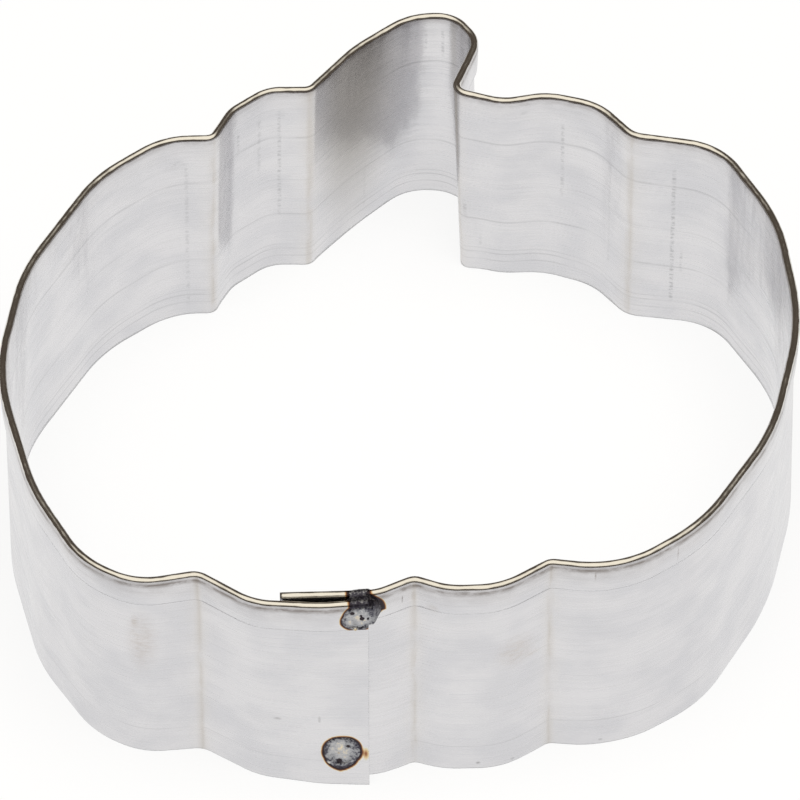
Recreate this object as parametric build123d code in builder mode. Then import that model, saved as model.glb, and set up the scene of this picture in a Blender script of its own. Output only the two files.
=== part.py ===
"""Pumpkin-shaped cookie cutter: one hemmed tinplate strip, bent to an outline and spot welded where its ends lap.

Millimetres. +X is to the right seen from the seam, +Y towards the stem and +Z up. The cutting edge lies at Z = 0,
and the origin is the middle of the plan.
"""
import os

from build123d import *

# Strip
HEIGHT = 25.0  # cutting edge to the top of the rim
SHEET = 0.3  # tinplate thickness
HEM_DEPTH = 3.6  # how far the folded edge hangs down outside
HEM_GAP = 0.2  # air left inside the fold
RIM = 2 * SHEET + HEM_GAP  # thickness across the rim

# Lap at the front, where the strip's outer end passes over its inner end
LAP_GAP = 0.4  # air between the two rims
LAP_STEP = RIM + LAP_GAP  # from one lap's middle line to the other's
LAP_OUTER_END_X = -3.0
LAP_INNER_END_X = -11.2
LAP_FRONT_Y = -26.0  # middle line of the inner lap at its end
LAP_RISE = 0.3  # how far the laps draw inwards towards the outer end
LAP_BELLY = 0.1  # how far the outer lap bows outwards along the lap

# Spot welds through both laps
LOWER_WELD_SETBACK = 2.5  # from the outer end to the weld's centre
LOWER_WELD_Z = 4.4
LOWER_WELD_RADIUS = 1.7
UPPER_WELD_SETBACK = 0.8
UPPER_WELD_RADIUS = 1.7
UPPER_WELD_UNDERCUT = 0.4  # how far it reaches below the foot of the hem
BRIDGE_WIDTH = 2.0  # burnt bridge over the two rims, from the upper weld to the top
BRIDGE_PAST_END = 0.1  # how far the bridge runs past the outer end
WELD_CROWN = 0.15  # how far a weld stands proud outside
WELD_ROOT = 0.3  # how far it stands proud inside

# Plan outline of the strip's middle line, drawn counterclockwise: x and y of each corner and the radius that
# rounds it. The two ends have no radius.
OUTLINE = [
    (LAP_INNER_END_X, LAP_FRONT_Y, 0),
    (-2.4, LAP_FRONT_Y + LAP_RISE, 5),
    # front crease by the seam, the low lobe beside it and the next crease
    (1.2, -23.8, 1.5),
    (4.4, -25.1, 6),
    (9.2, -24.9, 7),
    (13.8, -21.7, 1.5),
    # right side
    (20.4, -22.6, 10),
    (28.1, -16.8, 18),
    (34.9, -5.0, 26),
    (37.9, 9.5, 30),
    (36.2, 23.0, 22),
    (30.9, 33.1, 6.5),
    # crease and lobe right of the stem
    (22.5, 34.6, 3),
    (19.2, 38.9, 5.5),
    (14.3, 40.3, 6),
    (10.1, 39.3, 5),
    # stem, leaning right
    (4.8, 41.0, 1.6),
    (7.3, 48.2, 3),
    (5.2, 51.6, 3),
    (1.0, 51.5, 6),
    (-4.4, 46.9, 16),
    (-8.8, 41.0, 1.5),
    # lobe and crease left of the stem
    (-13.0, 41.0, 3.5),
    (-16.4, 38.1, 3.5),
    (-18.2, 34.2, 1.3),
    # left side
    (-23.0, 34.1, 7),
    (-29.3, 28.9, 15),
    (-36.0, 16.0, 22),
    (-38.1, 2.5, 26),
    (-34.3, -12.5, 26),
    (-29.5, -21.6, 10),
    (-24.5, -24.4, 6),
    (-18.8, -23.2, 2),
    # outer lap
    (-13.6, LAP_FRONT_Y - LAP_STEP + 0.3, 6),
    (-7.5, LAP_FRONT_Y - LAP_STEP - LAP_BELLY, 14),
    (LAP_OUTER_END_X, LAP_FRONT_Y - LAP_STEP + LAP_RISE, 0),
]


def middle_line(shift_x=0.0, shift_y=0.0):
    """The strip's middle line in plan, rounded at its corners."""
    points = [(x + shift_x, y + shift_y) for x, y, radius in OUTLINE]
    radii = [radius for x, y, radius in OUTLINE[1:-1]]
    with BuildLine() as line:
        FilletPolyline(*points, radius=radii)
    return line.line


# The origin is the middle of the plan
drawn_box = middle_line().bounding_box()
SHIFT_X = -drawn_box.center().X
SHIFT_Y = -drawn_box.center().Y
path = middle_line(SHIFT_X, SHIFT_Y)

# Cross-section of the strip: x runs outwards from the middle line and y runs up. The top is folded outwards and
# hangs down as the hem.
fold_radius = RIM / 2
fold_centre_x = fold_radius - SHEET / 2
fold_centre_y = HEIGHT - fold_radius
hem_inner_x = SHEET / 2 + HEM_GAP
hem_outer_x = RIM - SHEET / 2
hem_bottom_y = HEIGHT - HEM_DEPTH

start_point = path @ 0
start_direction = path % 0
outward = start_direction.cross(Vector(0, 0, 1))
section_plane = Plane(origin=start_point, x_dir=outward, z_dir=-start_direction)

# Both welds run along Y from the inner face of the inner lap to the outer face of the outer lap
inner_lap_y = LAP_FRONT_Y + LAP_RISE + SHIFT_Y
outer_lap_y = LAP_FRONT_Y - LAP_STEP - LAP_BELLY + SHIFT_Y
weld_inner_y = inner_lap_y + SHEET / 2 + WELD_ROOT
upper_weld_outer_y = outer_lap_y - hem_outer_x - WELD_CROWN
lower_weld_outer_y = outer_lap_y - SHEET / 2 - WELD_CROWN
outer_end_x = LAP_OUTER_END_X + SHIFT_X

with BuildPart() as upper_spot_weld:
    # The burn cuts the hem right through at the outer end, and the bridge runs up from it over both rims
    burn_z = hem_bottom_y - UPPER_WELD_UNDERCUT + UPPER_WELD_RADIUS
    with BuildSketch(Plane.XZ.offset(-weld_inner_y)) as burn:
        with Locations((outer_end_x - UPPER_WELD_SETBACK, burn_z)):
            Circle(UPPER_WELD_RADIUS)
        with Locations((outer_end_x + BRIDGE_PAST_END, HEIGHT)):
            Rectangle(BRIDGE_WIDTH, HEIGHT - burn_z, align=(Align.MAX, Align.MAX))
    extrude(amount=weld_inner_y - upper_weld_outer_y)

with BuildPart() as lower_spot_weld:
    with BuildSketch(Plane.XZ.offset(-weld_inner_y)) as nugget:
        with Locations((outer_end_x - LOWER_WELD_SETBACK, LOWER_WELD_Z)):
            Circle(LOWER_WELD_RADIUS)
    extrude(amount=weld_inner_y - lower_weld_outer_y)

with BuildPart() as band:
    with BuildSketch(section_plane) as section:
        with BuildLine() as profile:
            Line((-SHEET / 2, 0), (-SHEET / 2, fold_centre_y))
            ThreePointArc(
                (-SHEET / 2, fold_centre_y),
                (fold_centre_x, HEIGHT),
                (hem_outer_x, fold_centre_y),
            )
            Polyline((hem_outer_x, fold_centre_y), (hem_outer_x, hem_bottom_y), (hem_inner_x, hem_bottom_y),
                     (hem_inner_x, fold_centre_y))
            ThreePointArc(
                (hem_inner_x, fold_centre_y),
                (fold_centre_x, HEIGHT - SHEET),
                (SHEET / 2, fold_centre_y),
            )
            Polyline((SHEET / 2, fold_centre_y), (SHEET / 2, 0), (-SHEET / 2, 0))
        make_face()
    sweep(path=path)
    add(upper_spot_weld.part, mode=Mode.SUBTRACT)
    add(lower_spot_weld.part, mode=Mode.SUBTRACT)

os.makedirs("parts", exist_ok=True)
band.part.label = "band"
export_step(band.part, "parts/band.step")
upper_spot_weld.part.label = "upper_spot_weld"
export_step(upper_spot_weld.part, "parts/upper_spot_weld.step")
lower_spot_weld.part.label = "lower_spot_weld"
export_step(lower_spot_weld.part, "parts/lower_spot_weld.step")
strip_length = sum(edge.length for edge in path.edges())
print("strip length", strip_length, "volume", band.part.volume)
print("section times length", section.sketch.area * strip_length)
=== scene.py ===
"""Looks of the pumpkin-shaped cookie cutter: the hemmed tinplate band, its burnt spot welds and the studio.

Sizes are in millimetres, turned into metres by MM. A place on the strip is s, measured along it from its
inner end, v above the cutting edge, and u outwards from the middle line of the sheet.
"""
import math

import bmesh
import bpy
import numpy as np
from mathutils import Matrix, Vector


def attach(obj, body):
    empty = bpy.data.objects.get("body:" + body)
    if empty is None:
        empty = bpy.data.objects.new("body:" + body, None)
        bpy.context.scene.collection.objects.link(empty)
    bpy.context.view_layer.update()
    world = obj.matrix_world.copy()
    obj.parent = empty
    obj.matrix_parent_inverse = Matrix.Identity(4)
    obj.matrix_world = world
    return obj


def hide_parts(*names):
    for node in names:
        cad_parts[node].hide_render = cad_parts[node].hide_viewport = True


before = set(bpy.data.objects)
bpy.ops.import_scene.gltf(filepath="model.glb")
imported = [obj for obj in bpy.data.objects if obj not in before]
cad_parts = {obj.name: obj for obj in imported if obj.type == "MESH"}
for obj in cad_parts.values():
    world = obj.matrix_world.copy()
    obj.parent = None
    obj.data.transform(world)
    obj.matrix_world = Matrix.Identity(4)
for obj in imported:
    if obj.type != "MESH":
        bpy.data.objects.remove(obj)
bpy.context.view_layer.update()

MM = 0.001
BODY = "root"
RANDOM = np.random.default_rng(7)

# Strip, as in the CAD model
HEIGHT = 25.0
SHEET = 0.3
HEM_DEPTH = 3.6
HEM_GAP = 0.2
RIM = 2 * SHEET + HEM_GAP
LAP_GAP = 0.4
LAP_STEP = RIM + LAP_GAP
LAP_OUTER_END_X = -3.0
LAP_INNER_END_X = -11.2
LAP_FRONT_Y = -26.0
LAP_RISE = 0.3
LAP_BELLY = 0.1

# Plan outline of the middle line: x, y, the radius that rounds the corner, and how far the strip's foot
# stands outside its rim there, as read off the photograph
OUTLINE = [
    (LAP_INNER_END_X, LAP_FRONT_Y, 0, 0.6),
    (-2.4, LAP_FRONT_Y + LAP_RISE, 5, 0.7),
    (1.2, -23.8, 1.5, 1.1),
    (4.4, -25.1, 6, 0.55),
    (9.2, -24.9, 7, 0.68),
    (13.8, -21.7, 1.5, 0.75),
    (20.4, -22.6, 10, 0.28),
    (28.1, -16.8, 18, 0.68),
    (34.9, -5.0, 26, 0.3),
    (37.9, 9.5, 30, 0.45),
    (36.2, 23.0, 22, 0.7),
    (30.9, 33.1, 6.5, 0.38),
    (22.5, 34.6, 3, 0.1),
    (19.2, 38.9, 5.5, 0.0),
    (14.3, 40.3, 6, 0.45),
    (10.1, 39.3, 5, 1.35),
    (4.8, 41.0, 1.6, 1.2),
    (7.3, 48.2, 3, 0.6),
    (5.2, 51.6, 3, 0.7),
    (1.0, 51.5, 6, 1.2),
    (-4.4, 46.9, 16, 0.5),
    (-8.8, 41.0, 1.5, 0.9),
    (-13.0, 41.0, 3.5, 0.8),
    (-16.4, 38.1, 3.5, 0.7),
    (-18.2, 34.2, 1.3, 1.0),
    (-23.0, 34.1, 7, 0.55),
    (-29.3, 28.9, 15, 0.6),
    (-36.0, 16.0, 22, 0.7),
    (-38.1, 2.5, 26, 0.1),
    (-34.3, -12.5, 26, 0.15),
    (-29.5, -21.6, 10, -0.6),
    (-24.5, -24.4, 6, -0.8),
    (-18.8, -23.2, 2, -0.2),
    (-13.6, LAP_FRONT_Y - LAP_STEP + 0.3, 6, -0.45),
    (-7.5, LAP_FRONT_Y - LAP_STEP - LAP_BELLY, 14, 0.25),
    (LAP_OUTER_END_X, LAP_FRONT_Y - LAP_STEP + LAP_RISE, 0, 0.85),
]
LAST = len(OUTLINE) - 1
CREASES = [2, 5, 12, 16, 21, 24, 32]  # sharp corners of OUTLINE

FINE_STEP = 0.05  # spacing of the middle line's fine points
NORMAL_BLUR = 0.15  # how far along the strip its normal is evened out
LEAN_BLUR = 1.2
LEAN_DIRECTION_BLUR = 2.0

# Cross-section
CUT_EDGE = 0.06  # rounding of the sheet's cut edges
LEAF_CLEAR = 0.03  # between the web and the foot of the hem's leaf, which is pressed on to it
LEAF_SAG = 1.5  # how late the leaf draws in on its way down

# Spacing of the band's mesh along the strip, closer together at the welds
PLAIN_STEP = 0.33
OUTER_END_STEP = 0.11
OUTER_END_FINE = 5.0
INNER_LAP_STEP = 0.14
INNER_LAP_FINE = (4.0, 11.0)
LEAST_STEP = 0.04

# Slight waves of the sheet, in and out
WAVE_DEPTH = 0.05
WAVE_BLUR = 6.0


def rounded_line():
    """Fine points of the rounded middle line, in millimetres, and the point at the middle of each corner."""
    corners = np.array([row[:2] for row in OUTLINE], float)
    points = [corners[0]]
    marks = [0]
    for i in range(1, LAST):
        here = corners[i]
        back = corners[i - 1] - here
        ahead = corners[i + 1] - here
        back /= np.linalg.norm(back)
        ahead /= np.linalg.norm(ahead)
        inside = math.acos(np.clip(back @ ahead, -1, 1))
        radius = OUTLINE[i][2]
        towards = (back + ahead) / np.linalg.norm(back + ahead)
        centre = here + towards * radius / math.sin(inside / 2)
        first = here + back * radius / math.tan(inside / 2) - centre
        sweep = math.pi - inside
        if back[0] * ahead[1] - back[1] * ahead[0] > 0:
            sweep = -sweep
        pieces = max(int(abs(sweep) * radius / FINE_STEP), 4)
        for k in range(pieces + 1):
            angle = sweep * k / pieces
            spin = np.array([[math.cos(angle), -math.sin(angle)], [math.sin(angle), math.cos(angle)]])
            points.append(centre + spin @ first)
        marks.append(len(points) - 1 - pieces // 2)
    points.append(corners[LAST])
    marks.append(len(points) - 1)
    return np.array(points), marks


def soften(values, sigma):
    """Values at even spacing FINE_STEP, smoothed along the strip."""
    reach = int(4 * sigma / FINE_STEP)
    weights = np.exp(-0.5 * (np.arange(-reach, reach + 1) * FINE_STEP / sigma) ** 2)
    weights /= weights.sum()
    padded = np.pad(values, (reach, reach), mode="edge")
    return np.convolve(padded, weights, mode="valid")


class Strip:
    """The strip's middle line, its outward normal and its lean, at any s."""

    def __init__(self):
        points, marks = rounded_line()
        run = np.linalg.norm(np.diff(points, axis=0), axis=1)
        s = np.concatenate([[0], np.cumsum(run)])
        self.length = s[-1]
        self.marks = s[marks]
        self.s = np.arange(0, self.length, FINE_STEP)
        low = points.min(0)
        high = points.max(0)
        self.shift = -(low + high) / 2
        x = np.interp(self.s, s, points[:, 0]) + self.shift[0]
        y = np.interp(self.s, s, points[:, 1]) + self.shift[1]
        self.x = x
        self.y = y
        tx = np.gradient(x)
        ty = np.gradient(y)
        size = np.hypot(tx, ty)
        self.nx = soften(ty / size, NORMAL_BLUR)
        self.ny = soften(-tx / size, NORMAL_BLUR)
        lean = np.interp(self.s, self.marks, [row[3] for row in OUTLINE])
        lean = soften(lean, LEAN_BLUR)
        self.lean_x = soften(self.nx, LEAN_DIRECTION_BLUR) * lean
        self.lean_y = soften(self.ny, LEAN_DIRECTION_BLUR) * lean

    def at(self, s, u, v):
        """Points in the part's frame, in millimetres."""
        down = 1 - v / HEIGHT
        nx = np.interp(s, self.s, self.nx)
        ny = np.interp(s, self.s, self.ny)
        size = np.hypot(nx, ny)
        past = np.maximum(s - self.length, 0)  # straight on, past the outer end
        lean_x = down * np.interp(s, self.s, self.lean_x)
        lean_y = down * np.interp(s, self.s, self.lean_y)
        x = np.interp(s, self.s, self.x) + (u * nx - past * ny) / size + lean_x
        y = np.interp(s, self.s, self.y) + (u * ny + past * nx) / size + lean_y
        return np.stack([x, y, np.broadcast_to(v, np.shape(x))], -1)


strip = Strip()
OUTER_END_S = strip.length
OUTER_END_X = LAP_OUTER_END_X + strip.shift[0]
INNER_END_X = LAP_INNER_END_X + strip.shift[0]

# Welds: how far each centre lies back from the outer end, and its height
LOWER_WELD_BACK = 2.5
LOWER_WELD_Z = 4.2
UPPER_WELD_BACK = 0.8
UPPER_WELD_Z = 22.7
PRESS_RADIUS = 2.6
OUTER_PRESS = 0.3
INNER_PRESS = 0.35

# A weld's outline is (ds, dv) corners round its centre. Its plateau, the paler middle, is an ellipse:
# ds, dv, half width and half height. Its marks are beads and pits: ds, dv, radius, height and brightness.
LOWER_WELD = {
    "s": strip.length - LOWER_WELD_BACK,
    "v": LOWER_WELD_Z,
    "outline": [(1.72, 0.65), (1.36, 1.75), (0.8, 2.22), (0.0, 2.3), (-0.9, 2.15), (-1.5, 1.6), (-1.85, 0.5),
                (-1.7, -0.7), (-1.15, -1.75), (-0.25, -2.3), (0.6, -1.9), (1.35, -0.95)],
    "plateau": (-0.14, 0.4, 1.32, 1.7),
    "marks": [(-0.38, 0.0, 0.12, 0.08, 1.7), (-0.33, -1.1, 0.22, -0.16, -0.3), (-1.35, -1.2, 0.2, 0.16, 2.0),
              (0.5, 0.9, 0.3, -0.04, 0.45), (0.2, -0.5, 0.25, 0.04, 1.0)],
}
UPPER_WELD = {
    "s": strip.length - UPPER_WELD_BACK,
    "v": UPPER_WELD_Z,
    "outline": [(2.05, 0.45), (1.45, 1.7), (0.8, 2.2), (0.0, 2.2), (-0.9, 2.0), (-1.6, 0.9), (-1.75, -0.35),
                (-0.9, -1.15), (-0.35, -1.2), (0.62, -1.1), (0.85, -0.55), (1.5, -0.35), (2.1, -0.2)],
    "plateau": (-0.02, 0.45, 1.6, 1.25),
    "marks": [(0.15, 0.35, 0.17, -0.2, -0.6), (0.05, 0.75, 0.12, -0.1, 0.1), (-0.75, 1.15, 0.2, -0.1, 0.0),
              (-0.5, -0.93, 0.2, 0.22, 2.8), (0.75, 0.3, 0.15, -0.1, 0.2), (1.4, 1.0, 0.5, -0.06, 0.2),
              (-1.0, 0.1, 0.2, 0.05, 1.5), (0.2, -0.2, 0.22, 0.05, 1.4), (-0.4, 0.55, 0.15, 0.03, 1.4)],
}
BRIDGE_START = strip.length - 1.75
BRIDGE_END = strip.length + 0.03
SPOT_SIDES = 140
SPOT_RINGS = 30
SPOT_RAGGED = 0.015  # how ragged the spot's edge is
SPOT_LIFT = 0.05  # how far the burnt metal stands off the sheet
RIDGE_HEIGHT = 0.12  # of the ridge round the plateau
EDGE_DROP = 0.2  # how far the spot's edge sinks into the sheet
SCAR_LIFT = 0.05  # how far the scar stands out on the inner side
BRIDGE_COVER = 0.05  # thickness of the bridge over the rims
BRIDGE_DEPTH = 0.12  # and how far it reaches into them
BRIDGE_RAGGED = 0.05


def pressed(s, v):
    """How far the electrodes pressed the two laps together, outwards positive."""
    outer = -OUTER_PRESS * np.exp(-((s - OUTER_END_S + LOWER_WELD_BACK) ** 2 + (v - LOWER_WELD_Z) ** 2)
                                  / PRESS_RADIUS ** 2)
    lower_s = OUTER_END_X - LOWER_WELD_BACK - INNER_END_X
    inner = INNER_PRESS * np.exp(-((s - lower_s) ** 2 + (v - LOWER_WELD_Z) ** 2) / PRESS_RADIUS ** 2)
    return outer + inner


def section_points():
    """The folded cross-section, (u, v, side) round its outline. side is 0 inside, 1 outside."""
    half = SHEET / 2
    fold = RIM / 2
    centre = fold - half
    leaf_foot = half + LEAF_CLEAR
    foot_v = HEIGHT - HEM_DEPTH
    top = HEIGHT - fold
    edge = CUT_EDGE
    points = []
    # Up the inside, over the rim and down the outside of the leaf
    for v in np.linspace(edge, top, 36):
        points.append((-half, v, 0.0))
    for angle in np.linspace(math.pi, 0, 15)[1:]:
        side = 0.5 - 0.5 * math.cos(angle)
        points.append((centre + fold * math.cos(angle), top + fold * math.sin(angle), side))
    for share in np.linspace(0, 1, 15)[1:]:
        sag = share ** LEAF_SAG
        u = (RIM - half) * (1 - sag) + (leaf_foot + SHEET) * sag
        points.append((u, top + (foot_v + edge - top) * share, 1.0))
    points.append((leaf_foot + SHEET - edge, foot_v, 1.0))
    points.append((leaf_foot + edge, foot_v, 1.0))
    # Back up inside the hem's gap and down the outside of the web, in finer steps where the welds are
    for share in np.linspace(1, 0, 6):
        sag = share ** LEAF_SAG
        u = (half + HEM_GAP) * (1 - sag) + leaf_foot * sag
        points.append((u, top + (foot_v + edge - top) * share, 1.0))
    for angle in np.linspace(0, math.pi, 7)[1:]:
        u = centre + (fold - SHEET) * math.cos(angle)
        points.append((u, top + (fold - SHEET) * math.sin(angle), 1.0))
    for v in [*np.arange(top, 20.0, -0.25)[1:], *np.arange(20.0, 7.4, -0.9), *np.arange(7.4, edge, -0.2)]:
        points.append((half, v, 1.0))
    points.append((half - edge, 0.0, 1.0))
    points.append((-half + edge, 0.0, 0.0))
    return points


def tube_faces(stations, count):
    """Faces of a closed tube: a ring of count points at each station, and a cap at each end."""
    faces = []
    for i in range(stations - 1):
        for k in range(count):
            j = (k + 1) % count
            faces.append((i * count + k, i * count + j, (i + 1) * count + j, (i + 1) * count + k))
    faces.append(tuple(range(count)))
    faces.append(tuple((stations - 1) * count + k for k in reversed(range(count))))
    return faces


def get_attribute(mesh, name):
    values = np.empty(len(mesh.vertices), np.float32)
    mesh.attributes[name].data.foreach_get("value", values)
    return values


def set_attribute(mesh, name, values):
    attribute = mesh.attributes.new(name, "FLOAT", "POINT")
    attribute.data.foreach_set("value", np.asarray(values, np.float32))


def make_object(name, vertices, faces, material):
    """A closed, smooth-shaded mesh object from points in millimetres."""
    mesh = bpy.data.meshes.new(name)
    mesh.from_pydata([tuple(p) for p in np.asarray(vertices) * MM], [], faces)
    work = bmesh.new()
    work.from_mesh(mesh)
    bmesh.ops.recalc_face_normals(work, faces=work.faces)
    work.to_mesh(mesh)
    work.free()
    mesh.polygons.foreach_set("use_smooth", [True] * len(mesh.polygons))
    thing = bpy.data.objects.new(name, mesh)
    bpy.context.collection.objects.link(thing)
    mesh.materials.append(material)
    return thing


def station_list():
    """s of the mesh's stations, closer together where the welds are."""
    plain = np.arange(0, strip.length, PLAIN_STEP)
    near_end = np.arange(strip.length - OUTER_END_FINE, strip.length, OUTER_END_STEP)
    near_start = np.arange(*INNER_LAP_FINE, INNER_LAP_STEP)
    stations = np.unique(np.round(np.concatenate([plain, near_end, near_start, [strip.length]]), 4))
    keep = np.concatenate([[True], np.diff(stations) > LEAST_STEP])
    keep[-1] = True  # the strip's end stays, and the station before it makes room
    keep[-2] = False
    return stations[keep]


def make_band(material):
    section = section_points()
    count = len(section)
    stations = station_list()
    wave = soften(RANDOM.normal(0, 1, len(strip.s)), WAVE_BLUR)
    wave *= WAVE_DEPTH / np.abs(wave).max()
    wander = np.interp(stations, strip.s, wave)
    rows = []
    for u, v, side in section:
        push = wander * math.sin(math.pi * min(v / HEIGHT, 1))
        if v < HEIGHT - HEM_DEPTH:
            push = push + pressed(stations, v)
        rows.append(strip.at(stations, u + push, v))
    vertices = np.stack(rows, 1).reshape(-1, 3)
    band = make_object("tin_band", vertices, tube_faces(len(stations), count), material)
    set_attribute(band.data, "along", np.repeat(stations, count))
    set_attribute(band.data, "up", np.tile([point[1] for point in section], len(stations)))
    set_attribute(band.data, "side", np.tile([point[2] for point in section], len(stations)))
    return band


def outer_face(v):
    """How far the outside stands from the middle line: the hem's leaf above, the web below."""
    share = np.clip((HEIGHT - v) / HEM_DEPTH, 0, 1)
    sag = share ** LEAF_SAG
    leaf = (RIM - SHEET / 2) * (1 - sag) + (3 * SHEET / 2 + LEAF_CLEAR) * sag
    step = 1 / (1 + np.exp(-(v - HEIGHT + HEM_DEPTH + 0.1) / 0.12))
    return SHEET / 2 + (leaf - SHEET / 2) * step


def polar_outline(outline, angles):
    """Radius at the given angles, in radians, of an outline given as (ds, dv) corners round its centre."""
    corners = sorted((math.atan2(dv, ds) % math.tau, math.hypot(ds, dv)) for ds, dv in outline)
    turns = [corner[0] for corner in corners]
    radii = [corner[1] for corner in corners]
    return np.interp(np.asarray(angles) % math.tau, turns, radii, period=math.tau)


def to_inner_lap(s):
    """The s on the inner lap that lies behind s on the outer lap."""
    return s - strip.length + OUTER_END_X - INNER_END_X


def weld_spot(weld):
    """Vertices, faces and brightness of the spot itself, through both laps."""
    count = SPOT_SIDES
    rings = SPOT_RINGS
    angles = np.arange(count) * math.tau / count
    radius = polar_outline(weld["outline"], angles) + RANDOM.normal(0, SPOT_RAGGED, count)
    plateau_s, plateau_v, plateau_half_s, plateau_half_v = weld["plateau"]
    front = []
    back = []
    shine = []
    for k in range(1, rings + 1):
        share = k / rings
        for angle, full in zip(angles, radius):
            ds = share * full * math.cos(angle)
            dv = share * full * math.sin(angle)
            s = weld["s"] + ds
            v = weld["v"] + dv
            plateau = math.hypot((ds - plateau_s) / plateau_half_s, (dv - plateau_v) / plateau_half_v)
            ridge = RIDGE_HEIGHT * math.exp(-((plateau - 1.1) / 0.13) ** 2)
            rise = SPOT_LIFT + ridge - EDGE_DROP * max(share - 0.9, 0) / 0.1
            bright = 1.6 - plateau
            for mark_s, mark_v, mark_r, height, light in weld["marks"]:
                near = math.exp(-((ds - mark_s) ** 2 + (dv - mark_v) ** 2) / mark_r ** 2)
                rise += height * near
                bright = bright * (1 - near) + light * near
            # Past the end of the outer lap the metal runs down on to the inner one
            over = max(s - strip.length, 0)
            drop = LAP_STEP * (1 - math.exp(-(max(over - 0.4, 0) / 0.55) ** 2))
            v = min(v, HEIGHT + 0.02)
            front.append(strip.at(s, outer_face(v) + pressed(s, v) + rise - drop, v))
            inner_s = to_inner_lap(s)
            scar = SCAR_LIFT * (1 - share ** 4)
            back.append(strip.at(inner_s, -SHEET / 2 - scar + pressed(inner_s, v), v))
            shine.append(bright)
    vertices = front + back + [np.mean(front[:count], 0), np.mean(back[:count], 0)]
    shine = shine + [0.5] * len(back) + [np.mean(shine[:count]), 0.5]
    size = rings * count
    faces = []
    for i in range(count):
        j = (i + 1) % count
        for ring in range(0, size - count, count):
            next_ring = ring + count
            back_ring = size + ring
            faces.append((ring + i, ring + j, next_ring + j, next_ring + i))
            faces.append((back_ring + j, back_ring + i, back_ring + count + i, back_ring + count + j))
        outer = size - count
        faces.append((outer + i, outer + j, size + outer + j, size + outer + i))
        faces.append((i, 2 * size, j))
        faces.append((size + j, 2 * size + 1, size + i))
    return vertices, faces, shine


def weld_bridge(start, end):
    """Vertices, faces and brightness of the burnt metal that lies over both rims, between two s; the
    brightness is a painted highlight along the rim tops.
    """
    fold = RIM / 2
    over = fold + BRIDGE_COVER
    under = fold - BRIDGE_DEPTH
    stations = np.linspace(start, end, 26)
    middle = strip.at(stations.mean(), 0.0, HEIGHT)
    behind = strip.at(to_inner_lap(stations.mean()), 0.0, HEIGHT)
    apart = np.linalg.norm((middle - behind)[:2])
    centre = fold - SHEET / 2
    top = HEIGHT - fold

    def arc(middle_u, radius, first, last, steps):
        turns = np.linspace(first, last, steps)
        return [(middle_u + radius * math.cos(t), top + radius * math.sin(t)) for t in turns]

    upper = arc(centre, over, -0.5, 2.4, 16) + arc(centre - apart, over, 0.9, 3.5, 14)
    lower = arc(centre - apart, under, 3.5, 0.9, 14) + arc(centre, under, 2.4, -0.5, 16)
    profile = upper + lower
    count = len(profile)
    vertices = []
    shine = []
    wander = RANDOM.normal(0, BRIDGE_RAGGED, (2, count))
    for i, s in enumerate(stations):
        taper = math.sin(math.pi * (i + 0.6) / (len(stations) + 0.2)) ** 0.35
        for k, (u, v) in enumerate(profile):
            edge = (wander[0][k] if i < 5 else 0) + (wander[1][k] if i > 20 else 0)
            lift = (taper - 1) * 0.1 if k < len(upper) else 0
            vertices.append(strip.at(s + edge * 0.5, u, v + lift))
            # Painted highlight, brighter towards the tops of the rims
            shine.append(0.1 + 0.42 * max(min((v - top) / over, 1), 0) ** 3)
    return vertices, tube_faces(len(stations), count), shine


def make_weld(name, weld, material, bridge=None):
    vertices, faces, shine = weld_spot(weld)
    if bridge:
        more, more_faces, more_shine = weld_bridge(*bridge)
        faces += [tuple(i + len(vertices) for i in face) for face in more_faces]
        vertices += more
        shine += more_shine
    piece = make_object(name, vertices, faces, material)
    set_attribute(piece.data, "shine", shine)
    return piece


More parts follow.
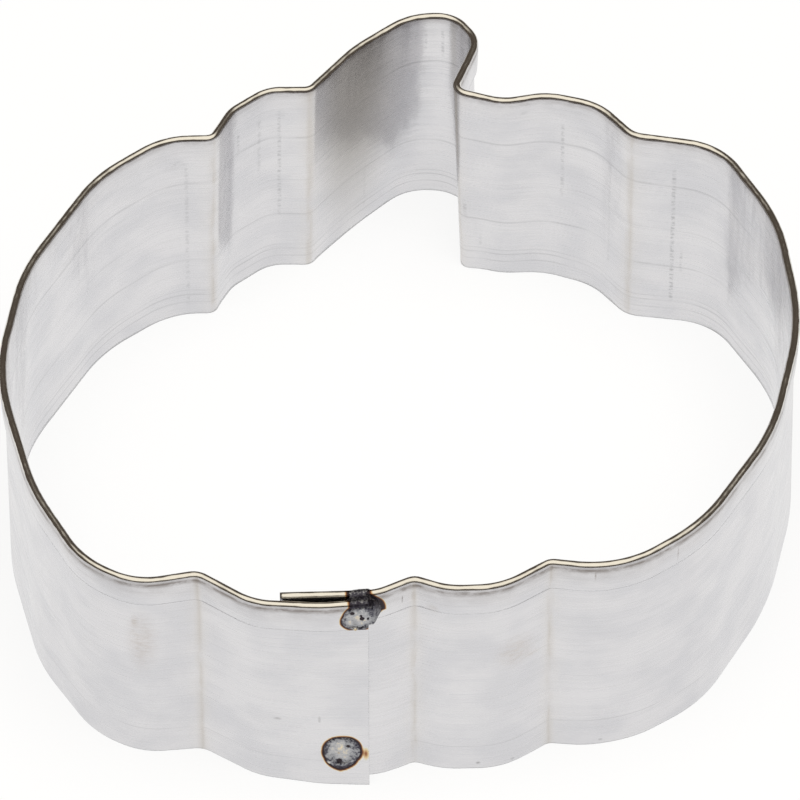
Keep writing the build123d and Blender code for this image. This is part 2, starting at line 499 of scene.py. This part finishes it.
class Graph:
    """Short names for building a material's nodes."""

    def __init__(self, name):
        self.material = bpy.data.materials.new(name)
        self.material.use_nodes = True
        self.tree = self.material.node_tree
        self.shader = self.tree.nodes["Principled BSDF"]

    def put(self, node, socket, value):
        if isinstance(value, bpy.types.NodeSocket):
            self.tree.links.new(value, node.inputs[socket])
        else:
            node.inputs[socket].default_value = value

    def attribute(self, name):
        node = self.tree.nodes.new("ShaderNodeAttribute")
        node.attribute_name = name
        return node.outputs["Fac"]

    def math(self, operation, first, second=0.0):
        node = self.tree.nodes.new("ShaderNodeMath")
        node.operation = operation
        self.put(node, 0, first)
        self.put(node, 1, second)
        return node.outputs[0]

    def vector(self, x, y, z):
        node = self.tree.nodes.new("ShaderNodeCombineXYZ")
        self.put(node, 0, x)
        self.put(node, 1, y)
        self.put(node, 2, z)
        return node.outputs[0]

    def noise(self, vector, scale, detail=2.0, roughness=0.5):
        node = self.tree.nodes.new("ShaderNodeTexNoise")
        self.put(node, "Vector", vector)
        self.put(node, "Scale", scale)
        self.put(node, "Detail", detail)
        self.put(node, "Roughness", roughness)
        return node.outputs["Fac"]

    def span(self, value, low, high, to_low=0.0, to_high=1.0, smooth=True):
        node = self.tree.nodes.new("ShaderNodeMapRange")
        if smooth:
            node.interpolation_type = "SMOOTHSTEP"
        self.put(node, "Value", value)
        self.put(node, "From Min", low)
        self.put(node, "From Max", high)
        self.put(node, "To Min", to_low)
        self.put(node, "To Max", to_high)
        return node.outputs["Result"]

    def mix(self, factor, first, second, blend="MIX"):
        node = self.tree.nodes.new("ShaderNodeMix")
        node.data_type = "RGBA"
        node.blend_type = blend
        self.put(node, 0, factor)
        for socket, value in ((6, first), (7, second)):
            if isinstance(value, tuple):
                value = (*value, 1.0)
            self.put(node, socket, value)
        return node.outputs[2]

    def ramp(self, value, stops):
        node = self.tree.nodes.new("ShaderNodeValToRGB")
        band = node.color_ramp
        while len(band.elements) < len(stops):
            band.elements.new(0.5)
        for element, (place, colour) in zip(band.elements, stops):
            element.position = place
            element.color = (*colour, 1.0)
        self.put(node, 0, value)
        return node.outputs[0]

    def ellipse(self, s, v, centre_s, centre_v, half_s, half_v, soft=0.5):
        """1 inside an ellipse in s and v, fading to 0 over its outer share."""
        ds = self.math("DIVIDE", self.math("SUBTRACT", s, centre_s), half_s)
        dv = self.math("DIVIDE", self.math("SUBTRACT", v, centre_v), half_v)
        square = self.math("ADD", self.math("MULTIPLY", ds, ds), self.math("MULTIPLY", dv, dv))
        far = self.math("SQRT", square)
        return self.span(far, 1.0, 1.0 - soft)

    def bump(self, height, distance, strength=1.0, normal=None):
        node = self.tree.nodes.new("ShaderNodeBump")
        self.put(node, "Height", height)
        self.put(node, "Distance", distance)
        self.put(node, "Strength", strength)
        if normal is not None:
            self.put(node, "Normal", normal)
        return node.outputs[0]


# Heat tints round a weld, from its edge outwards
HEAT_STOPS = [
    (0.0, (0.035, 0.028, 0.032)),
    (0.22, (0.10, 0.045, 0.030)),
    (0.42, (0.34, 0.155, 0.075)),
    (0.62, (0.68, 0.52, 0.30)),
    (0.85, (0.78, 0.75, 0.68)),
    (1.0, (0.80, 0.80, 0.81)),
]
TIN = (0.722, 0.714, 0.726)
TIN_DULL = (0.655, 0.652, 0.672)
TIN_STREAK = (0.60, 0.605, 0.62)
# Painted shade along each crease
CREASE_SHADE = (0.55, 0.515, 0.475)
TIN_BEIGE = (0.72, 0.68, 0.62)
# Painted highlight along the top of the rim
RIM_TOP_HIGHLIGHT = (0.80, 0.775, 0.72)
# Colour of the patch inside the stem, partly a stain and partly a painted reflection
STEM_STAIN_AND_REFLECTION_COLOUR = (0.37, 0.345, 0.305)
# Painted shade just under the rim
UNDER_RIM_SHADE = (0.13, 0.10, 0.08)
LINE_GREY = (0.42, 0.42, 0.43)

# Faint roll lines: height above the cutting edge, half width, which side, strength
ROLL_LINES = [
    (18.7, 0.22, "inside", 0.42),
    (7.5, 0.20, "inside", 0.42),
    (2.6, 0.16, "inside", 0.45),
    (1.6, 0.14, "inside", 0.40),
    (12.5, 0.12, "inside", 0.22),
    (3.2, 0.12, "both", 0.30),
]
# Rows of rubbed marks inside: s, lowest and highest point, half width, strength
RUBS = [
    (167.7, 1.4, 21.4, 0.30, 0.30),
    (160.3, 18.5, 22.0, 0.28, 0.60),
    (157.6, 13.9, 22.0, 0.30, 0.32),
    (155.4, 7.3, 21.8, 0.28, 0.55),
    (143.7, 2.0, 7.8, 0.22, 0.25),
    (120.5, 3.6, 5.0, 0.25, 0.35),
    (112.0, 11.7, 21.4, 0.28, 0.50),
    (106.3, 4.9, 19.2, 0.26, 0.25),
    (99.1, 2.8, 21.1, 0.30, 0.72),
    (98.2, 7.0, 10.0, 0.22, 0.5),
    (168.8, 21.0, 22.2, 1.4, 0.35),
    (122.3, 7.6, 9.8, 0.35, 0.50),
    (136.6, 20.5, 23.0, 0.20, 0.50),
    (134.9, 19.5, 23.5, 0.25, 0.50),
    (155.2, 21.0, 22.4, 0.45, 0.60),
    (116.0, 22.4, 23.4, 0.60, 0.30),
]
# Stains, smears and scratches outside: s, height, half width, half height, strength, colour
STAINS = [
    (237.0, 15.8, 2.0, 5.4, 0.30, (0.42, 0.34, 0.27)),
    (236.4, 18.6, 0.5, 1.2, 0.35, (0.40, 0.33, 0.26)),
    (22.6, 15.0, 2.8, 2.8, 0.30, (0.50, 0.42, 0.34)),
    (24.4, 13.6, 1.6, 0.5, 0.20, (0.50, 0.42, 0.34)),
    (14.8, 21.6, 0.9, 1.1, 0.30, (0.42, 0.36, 0.30)),
    (12.7, 22.9, 0.5, 0.9, 0.45, (0.40, 0.33, 0.27)),
    (11.3, 23.0, 0.10, 0.7, 0.85, (0.16, 0.14, 0.13)),
    (11.5, 24.2, 0.35, 0.3, 0.70, (0.16, 0.13, 0.11)),
    (250.7, 8.6, 0.60, 0.24, 0.95, (0.30, 0.29, 0.29)),
    (254.7, 9.0, 0.20, 0.55, 0.85, (0.30, 0.29, 0.29)),
    (30.7, 23.6, 0.12, 0.9, 0.60, (0.25, 0.21, 0.18)),
    (39.0, 23.0, 0.12, 1.3, 0.60, (0.25, 0.21, 0.18)),
    (31.5, 0.6, 0.30, 0.25, 0.60, (0.22, 0.21, 0.21)),
    (22.1, 0.5, 0.30, 0.22, 0.60, (0.22, 0.21, 0.21)),
    (19.0, 0.8, 0.30, 0.25, 0.60, (0.22, 0.21, 0.21)),
]
# A dull patch inside the stem: s and height of its middle, half width, half height. The photograph is dark
# there partly because of what the metal reflects, so this colour stands in for some of that.
STEM_STAIN_AND_REFLECTION = (145.6, 22.0, 8.6, 26.0)
STEM_STAIN_AND_REFLECTION_STRENGTH = 0.82

# Heights of the relief that shading alone draws
SHEET_WAVES = 0.25 * MM
GRAIN_RELIEF = 0.006 * MM
SPECKLE_RELIEF = 0.05 * MM


def tinplate_material():
    g = Graph("tinplate_sheet")
    s = g.attribute("along")
    v = g.attribute("up")
    side = g.attribute("side")
    crease_shade = g.attribute("crease_shade")
    scorch = g.attribute("scorch")
    inside = g.math("LESS_THAN", side, 0.02)

    # Rolled grain runs along the strip
    grain_place = g.vector(g.math("MULTIPLY", s, 0.05), g.math("MULTIPLY", v, 1.6), side)
    grain = g.noise(grain_place, 3.0, 6.0, 0.62)
    cloud = g.noise(g.vector(g.math("MULTIPLY", s, 0.16), g.math("MULTIPLY", v, 0.22), side), 1.0, 3.0)

    colour = g.mix(g.span(cloud, 0.35, 0.68), TIN, TIN_DULL)
    colour = g.mix(g.span(grain, 0.42, 0.66, 0.0, 0.14), colour, TIN_STREAK)

    # Faint lines that the rolls left
    for height, half, place, strength in ROLL_LINES:
        along_line = g.vector(s, height, 0.0)
        drift = g.math("MULTIPLY", g.math("SUBTRACT", g.noise(along_line, 0.05, 1.0), 0.5), 1.6)
        away = g.math("ABSOLUTE", g.math("SUBTRACT", v, g.math("ADD", drift, height)))
        broken = g.span(g.noise(along_line, 0.2, 2.0), 0.35, 0.6, 0.35, 1.0)
        line = g.math("MULTIPLY", g.span(away, half, 0.0), broken)
        if place == "inside":
            line = g.math("MULTIPLY", line, inside)
        colour = g.mix(g.math("MULTIPLY", line, strength), colour, LINE_GREY)

    # Rows of small rubbed marks across the strip, inside
    dots = g.noise(g.vector(g.math("MULTIPLY", s, 1.1), g.math("MULTIPLY", v, 2.6), 5.0), 1.0, 3.0, 0.6)
    for where, low, high, half, strength in RUBS:
        across = g.span(g.math("ABSOLUTE", g.math("SUBTRACT", s, where)), half, half * 0.2)
        ends = g.math("MULTIPLY", g.span(v, low - 0.5, low + 0.8), g.span(v, high + 0.5, high - 0.8))
        mask = g.math("MULTIPLY", g.math("MULTIPLY", across, ends), g.span(dots, 0.46, 0.60, 0.12, 1.0))
        mask = g.math("MULTIPLY", mask, inside)
        colour = g.mix(g.math("MULTIPLY", mask, strength), colour, LINE_GREY)

    # Stains, smears and scratches outside
    outside = g.math("GREATER_THAN", side, 0.98)
    for where, height, half_s, half_v, strength, tint in STAINS:
        mask = g.math("MULTIPLY", g.ellipse(s, v, where, height, half_s, half_v, 0.9), outside)
        mask = g.math("MULTIPLY", mask, g.span(dots, 0.35, 0.65, 0.35, 1.0))
        colour = g.mix(g.math("MULTIPLY", mask, strength), colour, tint)

    # The patch inside the stem, partly a stain and partly a painted reflection of the dark room
    mask = g.math("MULTIPLY", g.ellipse(s, v, *STEM_STAIN_AND_REFLECTION, 0.85), inside)
    colour = g.mix(g.math("MULTIPLY", mask, STEM_STAIN_AND_REFLECTION_STRENGTH), colour, STEM_STAIN_AND_REFLECTION_COLOUR)

    # The tin has a beige tint round each bend; painted shade darkens each crease, and the sheet just under
    # the rim
    uneven = g.span(g.noise(g.vector(s, g.math("MULTIPLY", v, 0.25), 2.0), 1.2, 2.0), 0.3, 0.6, 0.3, 1.0)
    worked = g.math("MULTIPLY", g.attribute("worked"), uneven)
    colour = g.mix(g.math("MULTIPLY", worked, 0.20), colour, TIN_BEIGE)
    # Painted shade along each crease
    colour = g.mix(g.math("MULTIPLY", g.math("MULTIPLY", crease_shade, uneven), 0.60), colour, CREASE_SHADE)
    patchy = g.noise(g.vector(g.math("MULTIPLY", s, 0.5), v, 3.0), 1.0, 4.0, 0.7)
    patchy = g.span(patchy, 0.35, 0.62, 0.45, 1.0)
    # Painted shade, darkest just under the rim and fading down the hem, stronger outside
    close = g.math("MULTIPLY", g.span(v, HEIGHT - 1.3, HEIGHT - 0.40), 0.74)
    wide = g.math("MULTIPLY", g.span(v, HEIGHT - 3.4, HEIGHT - 0.8), 0.20)
    more_outside = g.math("ADD", g.math("MULTIPLY", side, 0.65), 0.35)
    under_rim_shade = g.math("MULTIPLY", g.math("ADD", close, wide), more_outside)
    # Painted highlight along the top of the rim, which is also a little smoother
    rim = g.span(v, HEIGHT - 0.30, HEIGHT - 0.14)
    colour = g.mix(g.math("MULTIPLY", under_rim_shade, patchy), colour, UNDER_RIM_SHADE)
    colour = g.mix(rim, colour, RIM_TOP_HIGHLIGHT)
    tint = g.ramp(scorch, HEAT_STOPS)
    colour = g.mix(1.0, colour, tint, "DARKEN")

    # Gloss and fine relief
    g.put(g.shader, "Base Color", colour)
    g.put(g.shader, "Metallic", 1.0)
    rough = g.span(grain, 0.35, 0.65, 0.19, 0.30)
    g.put(g.shader, "Roughness", g.math("SUBTRACT", rough, g.math("MULTIPLY", rim, 0.08)))
    fine = g.noise(g.vector(g.math("MULTIPLY", s, 0.3), g.math("MULTIPLY", v, 9.0), side), 1.0, 4.0, 0.6)
    waves = g.noise(g.vector(g.math("MULTIPLY", s, 0.35), g.math("MULTIPLY", v, 0.12), side), 1.0, 2.0)
    normal = g.bump(waves, SHEET_WAVES, 0.5)
    g.put(g.shader, "Normal", g.bump(fine, GRAIN_RELIEF, 0.38, normal))
    return g.material


def weld_material():
    g = Graph("burnt_weld_metal")
    shine = g.attribute("shine")
    place = g.tree.nodes.new("ShaderNodeTexCoord").outputs["Object"]
    speckle = g.noise(place, 5200.0, 4.0, 0.6)
    blotch = g.noise(place, 1900.0, 3.0, 0.6)
    uneven = g.math("ADD", shine, g.span(blotch, 0.3, 0.7, -0.38, 0.38, smooth=False))
    uneven = g.math("ADD", uneven, g.span(speckle, 0.3, 0.7, -0.36, 0.36, smooth=False))
    colour = g.ramp(g.math("MULTIPLY", uneven, 0.5), [
        (0.0, (0.035, 0.030, 0.042)),
        (0.16, (0.070, 0.068, 0.090)),
        (0.25, (0.15, 0.15, 0.17)),
        (0.32, (0.30, 0.305, 0.32)),
        (0.60, (0.50, 0.50, 0.51)),
        (0.95, (0.86, 0.74, 0.52)),
    ])
    g.put(g.shader, "Base Color", colour)
    g.put(g.shader, "Metallic", 0.9)
    g.put(g.shader, "Roughness", g.span(speckle, 0.3, 0.7, 0.26, 0.46))
    g.put(g.shader, "Normal", g.bump(speckle, SPECKLE_RELIEF, 0.8))
    return g.material


# Width of the painted shade along each crease, and of the beige tint round each bend
CREASE_SHADE_WIDTH = 0.28
WORKED_WIDTH = 1.1
SCORCH_REACH = 0.24
BRIDGE_SCORCH_REACH = 0.34


def near_creases(s, width):
    """1 at each crease, falling to 0 about twice the width away."""
    near = np.zeros(len(s))
    for i in CREASES:
        near = np.maximum(near, np.exp(-((s - strip.marks[i]) / width) ** 2))
    return near


def add_marks(band):
    """Attributes for the painted shade along the creases, the beige tint round the bends, and the heat tint
    round the welds.
    """
    mesh = band.data
    s = get_attribute(mesh, "along")
    v = get_attribute(mesh, "up")
    set_attribute(mesh, "crease_shade", near_creases(s, CREASE_SHADE_WIDTH))
    set_attribute(mesh, "worked", near_creases(s, WORKED_WIDTH))
    scorch = np.ones(len(s))
    for weld in (LOWER_WELD, UPPER_WELD):
        for centre in (weld["s"], to_inner_lap(weld["s"])):
            ds = s - centre
            dv = v - weld["v"]
            far = np.hypot(ds, dv) - polar_outline(weld["outline"], np.arctan2(dv, ds))
            scorch = np.minimum(scorch, np.clip(far / SCORCH_REACH, 0, 1))
    inner_start = to_inner_lap(BRIDGE_START) - 0.2
    for start, end in ((BRIDGE_START, BRIDGE_END), (inner_start, to_inner_lap(BRIDGE_END))):
        far = np.maximum(start - s, s - end) + np.maximum(HEIGHT - 1.2 - v, 0)
        scorch = np.minimum(scorch, np.clip(far / BRIDGE_SCORCH_REACH, 0, 1))
    # A brown flare at the edge of the outer lap, beside the lower weld
    flare = np.hypot((s - strip.length + 0.35) / 0.5, (v - LOWER_WELD_Z) / 1.2)
    scorch = np.minimum(scorch, np.clip(0.3 + 0.7 * flare, 0, 1))
    set_attribute(mesh, "scorch", scorch)


tinplate = tinplate_material()
band = make_band(tinplate)
add_marks(band)
burnt = weld_material()
lower_weld = make_weld("lower_burnt_spot", LOWER_WELD, burnt)
upper_weld = make_weld("upper_burnt_spot", UPPER_WELD, burnt, (BRIDGE_START, BRIDGE_END))
for piece, node, slot in ((band, "band", "tinplate"), (lower_weld, "lower_spot_weld", "burnt_weld"),
                          (upper_weld, "upper_spot_weld", "burnt_weld")):
    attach(piece, BODY)
    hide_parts(node)


# Studio, in metres

FLOOR_SIZE = 1.0
FLOOR_WHITE = (0.95, 0.95, 0.95)
FLOOR_DROP = 0.00002  # the floor lies this far under the cutting edge
# Share of the floor that is plain white to camera, gloss and glass. The rest keeps the shadow.
SHOWN_WHITE = 0.85
GLOW = (1.10, 1.04, 0.92)  # the large soft light overhead
ROOM = (0.085, 0.070, 0.058)  # the rest of the room
GLOW_AXIS = (0.0, -0.19, 0.98)
GLOW_FADE = (0.60, 0.84)  # cosines between which the glow gives way to the room
LAMP_PLACE = (0.05, -0.15, 0.9)
LAMP_SIZE = 0.7
LAMP_WATTS = 5.5
LAMP_COLOUR = (1.0, 0.99, 0.97)
CAMERA_ELEVATION = 46.0
CAMERA_DISTANCE = 820.0 * MM
CAMERA_AIM = (-0.038 * MM, 10.634 * MM, 0.0)
CAMERA_LENS = 373.6
CAMERA_SENSOR = 36.0


def world_shader(tree, colour):
    node = tree.nodes.new("ShaderNodeBackground")
    node.inputs["Color"].default_value = (*colour, 1)
    return node.outputs[0]


def link_mix(tree, factor, first, second):
    mix = tree.nodes.new("ShaderNodeMixShader")
    tree.links.new(factor, mix.inputs[0])
    tree.links.new(first, mix.inputs[1])
    tree.links.new(second, mix.inputs[2])
    return mix.outputs[0]


def make_floor():
    """A plain white floor, the same to camera, gloss and glass, that keeps the object's shadow."""
    mesh = bpy.data.meshes.new("floor")
    half = FLOOR_SIZE / 2
    corners = [(-half, -half, 0), (half, -half, 0), (half, half, 0), (-half, half, 0)]
    mesh.from_pydata(corners, [], [(0, 1, 2, 3)])
    floor = bpy.data.objects.new("floor", mesh)
    bpy.context.collection.objects.link(floor)
    floor.location.z = -FLOOR_DROP
    g = Graph("floor_white")
    tree = g.tree
    path = tree.nodes.new("ShaderNodeLightPath")
    glow = tree.nodes.new("ShaderNodeEmission")
    glow.inputs["Color"].default_value = (1.0, 1.0, 1.0, 1)
    diffuse = tree.nodes.new("ShaderNodeBsdfDiffuse")
    diffuse.inputs["Color"].default_value = (*FLOOR_WHITE, 1)
    seen = g.math("MAXIMUM", path.outputs["Is Camera Ray"], path.outputs["Is Glossy Ray"])
    seen = g.math("MAXIMUM", seen, path.outputs["Is Transmission Ray"])
    surface = link_mix(tree, g.math("MULTIPLY", seen, SHOWN_WHITE), diffuse.outputs[0], glow.outputs[0])
    tree.nodes.remove(g.shader)
    tree.links.new(surface, tree.nodes["Material Output"].inputs["Surface"])
    mesh.materials.append(g.material)


def make_world():
    """One room for every ray: a large soft light overhead and darker walls."""
    world = bpy.data.worlds.new("room")
    bpy.context.scene.world = world
    world.use_nodes = True
    tree = world.node_tree
    tree.nodes.clear()
    place = tree.nodes.new("ShaderNodeTexCoord").outputs["Generated"]
    towards = tree.nodes.new("ShaderNodeVectorMath")
    towards.operation = "DOT_PRODUCT"
    tree.links.new(place, towards.inputs[0])
    towards.inputs[1].default_value = GLOW_AXIS
    edge = tree.nodes.new("ShaderNodeMapRange")
    edge.interpolation_type = "SMOOTHSTEP"
    tree.links.new(towards.outputs["Value"], edge.inputs["Value"])
    edge.inputs["From Min"].default_value = GLOW_FADE[0]
    edge.inputs["From Max"].default_value = GLOW_FADE[1]
    room = link_mix(tree, edge.outputs[0], world_shader(tree, ROOM), world_shader(tree, GLOW))
    output = tree.nodes.new("ShaderNodeOutputWorld")
    tree.links.new(room, output.inputs["Surface"])


def add_lamp():
    lamp = bpy.data.lights.new("overhead", "AREA")
    lamp.shape = "RECTANGLE"
    lamp.size = LAMP_SIZE
    lamp.size_y = LAMP_SIZE
    lamp.energy = LAMP_WATTS
    lamp.color = LAMP_COLOUR
    thing = bpy.data.objects.new("overhead", lamp)
    thing.location = LAMP_PLACE
    thing.rotation_euler = (-Vector(LAMP_PLACE)).to_track_quat("-Z", "Y").to_euler()
    thing.visible_glossy = False  # the world's glow stands for this light in reflections, without noise
    bpy.context.collection.objects.link(thing)


def make_camera():
    camera = bpy.data.cameras.new("camera")
    camera.lens = CAMERA_LENS
    camera.sensor_width = CAMERA_SENSOR
    camera.clip_start = 0.01
    camera.clip_end = 20.0
    thing = bpy.data.objects.new("camera", camera)
    bpy.context.collection.objects.link(thing)
    aim = Vector(CAMERA_AIM)
    raised = math.radians(CAMERA_ELEVATION)
    thing.location = aim + CAMERA_DISTANCE * Vector((0, -math.cos(raised), math.sin(raised)))
    thing.rotation_euler = (aim - thing.location).to_track_quat("-Z", "Y").to_euler()
    bpy.context.scene.camera = thing


make_floor()
make_world()
add_lamp()
make_camera()
bpy.context.scene.view_settings.view_transform = "Standard"
